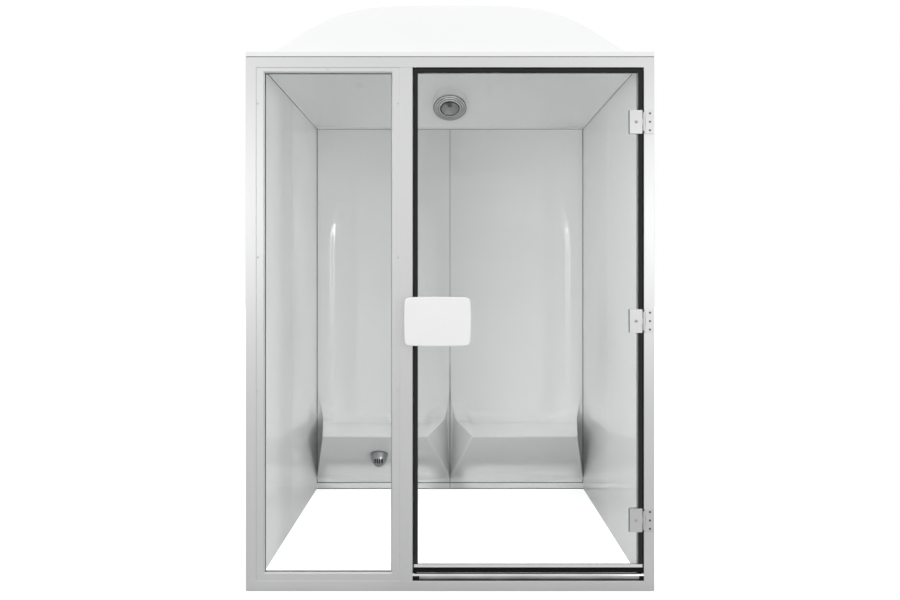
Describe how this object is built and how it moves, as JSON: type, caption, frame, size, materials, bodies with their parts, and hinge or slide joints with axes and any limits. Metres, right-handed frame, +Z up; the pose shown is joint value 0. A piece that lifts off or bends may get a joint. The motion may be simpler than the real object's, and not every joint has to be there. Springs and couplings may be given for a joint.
{
  "type": "steam shower cabin",
  "caption": "Free-standing steam shower cabin with an aluminium and glass front, a hinged glass door, moulded white back panels with two seats, and a domed roof with a light.",
  "frame": {"origin": "on the floor, below the middle of the cabin's outer box with its door closed", "axes": "+X to the right seen from the door, +Y into the cabin, +Z up"},
  "size_m": [1.6, 1.633, 2.4519],
  "materials": {
    "satin_aluminium": "satin, lightly brushed along each length",
    "polished_aluminium": "polished",
    "hinge_steel": "satin",
    "fastener_steel": "bright zinc",
    "clear_glass": "clear toughened, polished edges",
    "lens_glass": "clear, domed",
    "black_rubber": "matt black",
    "magnet": "magnet-filled strip",
    "white_acrylic": "gloss inside, matt backing outside",
    "white_plastic": "soft gloss",
    "chrome": "polished",
    "reflector": "spun and polished",
    "can_metal": "white enamel",
    "grey_plastic": "matt",
    "plywood": "raw plywood",
    "foam_board": "cut foam",
    "nipple_brass": "turned"
  },
  "bodies": {
    "cabin": {"frame_left_stile": "satin_aluminium", "frame_right_stile": "satin_aluminium", "frame_head": "satin_aluminium", "frame_sill": "satin_aluminium", "mullion": "satin_aluminium", "pane_bead_left": "satin_aluminium", "pane_bead_right": "satin_aluminium", "pane_bead_top": "satin_aluminium", "pane_bead_bottom": "satin_aluminium", "frame_corner_cleats": "satin_aluminium", "threshold_bar": "polished_aluminium", "hinge_leaf_top": "hinge_steel", "hinge_leaf_middle": "hinge_steel", "hinge_leaf_bottom": "hinge_steel", "hinge_pins": "hinge_steel", "bead_screws": "fastener_steel", "hinge_leaf_screws": "fastener_steel", "frame_wall_screws": "fastener_steel", "seam_bolts": "fastener_steel", "seam_nuts": "fastener_steel", "fixed_pane": "clear_glass", "light_lens": "lens_glass", "light_lamp": "lens_glass", "door_stop_gaskets": "black_rubber", "pane_gaskets": "black_rubber", "panel_seam_gaskets": "black_rubber", "roof_gasket": "black_rubber", "light_gasket": "black_rubber", "steam_gasket": "black_rubber", "latch_magnet": "magnet", "back_panel_left": "white_acrylic", "back_panel_right": "white_acrylic", "side_panel_left_front": "white_acrylic", "side_panel_left_rear": "white_acrylic", "side_panel_right_front": "white_acrylic", "side_panel_right_rear": "white_acrylic", "roof_dome": "white_acrylic", "light_bezel": "chrome", "steam_hood": "chrome", "light_reflector": "reflector", "light_can": "can_metal", "light_lock_ring": "grey_plastic", "seat_gussets": "plywood", "wall_insulation": "foam_board", "steam_nipple": "nipple_brass", "steam_lock_nut": "nipple_brass"},
    "door": {"door_glass": "clear_glass", "door_seals": "black_rubber", "door_bottom_channel": "polished_aluminium", "door_sweep": "black_rubber", "hinge_clamp_top": "hinge_steel", "hinge_clamp_middle": "hinge_steel", "hinge_clamp_bottom": "hinge_steel", "hinge_backing_plates": "hinge_steel", "clamp_screws": "fastener_steel", "glass_pads": "black_rubber", "handle_plate": "white_plastic", "handle_pull": "white_plastic", "handle_posts": "chrome", "handle_studs": "fastener_steel"}
  },
  "joints": [
    {"name": "door_swing", "type": "hinge", "parent": "cabin", "child": "door", "pos_m": [0.759, -0.764, 1.05], "axis": [0, 0, 1], "range_deg": [0, 110]}
  ]
}
